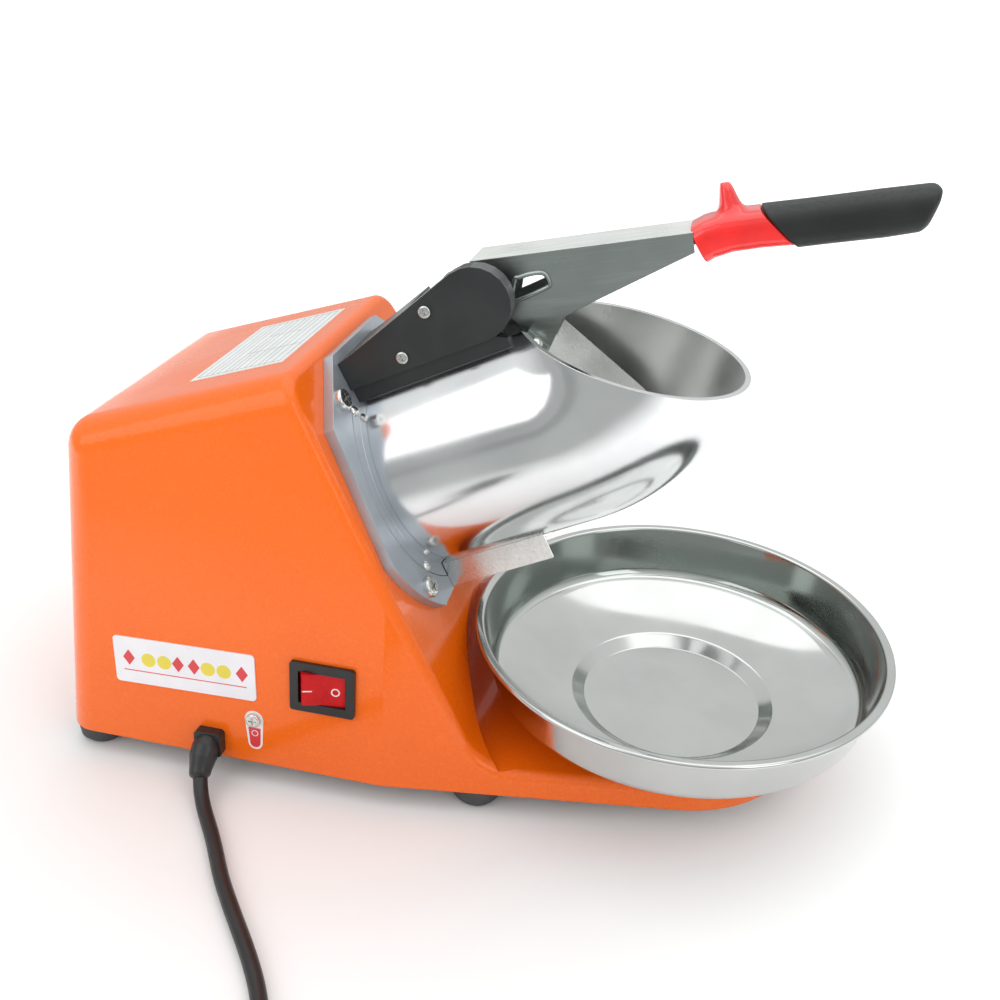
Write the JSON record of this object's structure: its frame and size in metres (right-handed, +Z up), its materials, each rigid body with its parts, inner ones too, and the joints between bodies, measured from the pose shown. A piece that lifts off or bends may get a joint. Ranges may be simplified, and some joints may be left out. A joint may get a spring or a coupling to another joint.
{
  "type": "shaved ice machine",
  "caption": "Motor-driven ice shaver: tilted hopper with a hinged pressing lever over a cutter disc, sloped metal housing with rocker switch, and a round catching bowl on its deck.",
  "frame": {"origin": "on the table plane under the middle plane of the housing; z = 0 is the underside of the feet, y = 0 the middle plane, x = 0 is 116 mm ahead of the foot of the rear wall", "axes": "+X forwards, towards the bowl; +Z up; the switch, badge and cord are on the -Y side"},
  "size_m": [0.394, 0.414, 0.2904],
  "materials": {
    "orange_paint": "glossy orange stove enamel",
    "satin_casting": "satin die-cast, blue-grey",
    "polished_steel": "mirror polished outside, satin inside",
    "stainless": "plain stainless steel",
    "zinc_steel": "zinc plated, lightly scratched",
    "bowl_steel": "polished stainless sheet",
    "black_paint": "satin black powder coat",
    "red_plastic": "glossy red moulding",
    "black_grip": "matt black soft grip",
    "red_clear": "translucent red",
    "black_plastic": "satin black moulding",
    "foot_rubber": "dark grey rubber",
    "cord_pvc": "flexible black PVC",
    "plug_brass": "bright brass",
    "plate_white": "white printed plate",
    "label_paper": "ruled white sticker",
    "earth_sticker": "printed sticker",
    "tool_steel": "ground hardened steel",
    "motor_alloy": "cast alloy",
    "lamination": "varnished laminations",
    "copper": "enamelled copper",
    "can_alloy": "drawn can",
    "nylon": "natural nylon",
    "wire_pvc": "insulated wire"
  },
  "bodies": {
    "frame": {"front_casting": "satin_casting", "ring_screws": "stainless", "hopper": "polished_steel", "hopper_screws": "stainless", "ice_chute": "stainless", "shaft_seal": "black_plastic", "front_bearing": "tool_steel", "rear_bearing": "tool_steel", "motor_front_bell": "motor_alloy", "motor_rear_bell": "motor_alloy", "stator_core": "lamination", "stator_windings": "copper", "motor_bolts": "stainless", "motor_mount_screws": "stainless", "hinge_bracket": "black_paint", "bracket_screws": "stainless", "hinge_cover": "black_paint", "cover_screws": "stainless", "hinge_pin": "stainless", "pin_clips": "stainless", "lever_spring": "stainless", "micro_switch": "black_plastic", "housing": "orange_paint", "base_plate": "zinc_steel", "base_screws": "stainless", "rubber_feet": "foot_rubber", "foot_screws": "zinc_steel", "foot_nuts": "zinc_steel", "earth_screw": "stainless", "earth_label": "earth_sticker", "badge_plate": "plate_white", "instruction_label": "label_paper", "cord_grommet": "black_plastic", "power_cord": "cord_pvc", "mains_plug": "black_plastic", "plug_pins": "plug_brass", "switch_bezel": "black_plastic", "switch_terminals": "plug_brass", "run_capacitor": "can_alloy", "capacitor_clamp": "zinc_steel", "clamp_screws": "stainless", "terminal_block": "nylon", "internal_wiring": "wire_pvc"},
    "rotor": {"drive_shaft": "tool_steel", "rotor_core": "lamination", "cooling_fan": "black_plastic", "cutter_disc": "tool_steel", "cutter_blades": "tool_steel", "blade_screws": "stainless", "disc_nut": "stainless"},
    "lever": {"lever_channel": "zinc_steel", "pusher_plate": "stainless", "pusher_rivets": "stainless", "grip_collar": "red_plastic", "grip_sleeve": "black_grip"},
    "rocker": {"switch_rocker": "red_clear"},
    "plunger": {"micro_plunger": "red_plastic"},
    "bowl": {"bowl": "bowl_steel"}
  },
  "joints": [
    {"name": "cutter_spin", "type": "hinge", "parent": "frame", "child": "rotor", "pos_m": [0.04, 0, 0.141], "axis": [0.891, 0, 0.454], "continuous": true},
    {"name": "lever_hinge", "type": "hinge", "parent": "frame", "child": "lever", "pos_m": [0.07242, 0, 0.23047], "axis": [0, -1, 0], "range_deg": [-26, 68], "deforming": ["lever_spring"]},
    {"name": "rocker_tilt", "type": "hinge", "parent": "frame", "child": "rocker", "pos_m": [0.0195, -0.0788, 0.05984], "axis": [0, -0.0872, -0.9962], "range_deg": [0, 18]},
    {"name": "plunger_press", "type": "slide", "parent": "frame", "child": "plunger", "axis": [-0.891, 0, -0.454], "range_m": [0, 0.0012]},
    {"name": "bowl_slide", "type": "slide", "parent": "frame", "child": "bowl", "axis": [1, 0, 0], "range_m": [0, 0.15]}
  ]
}
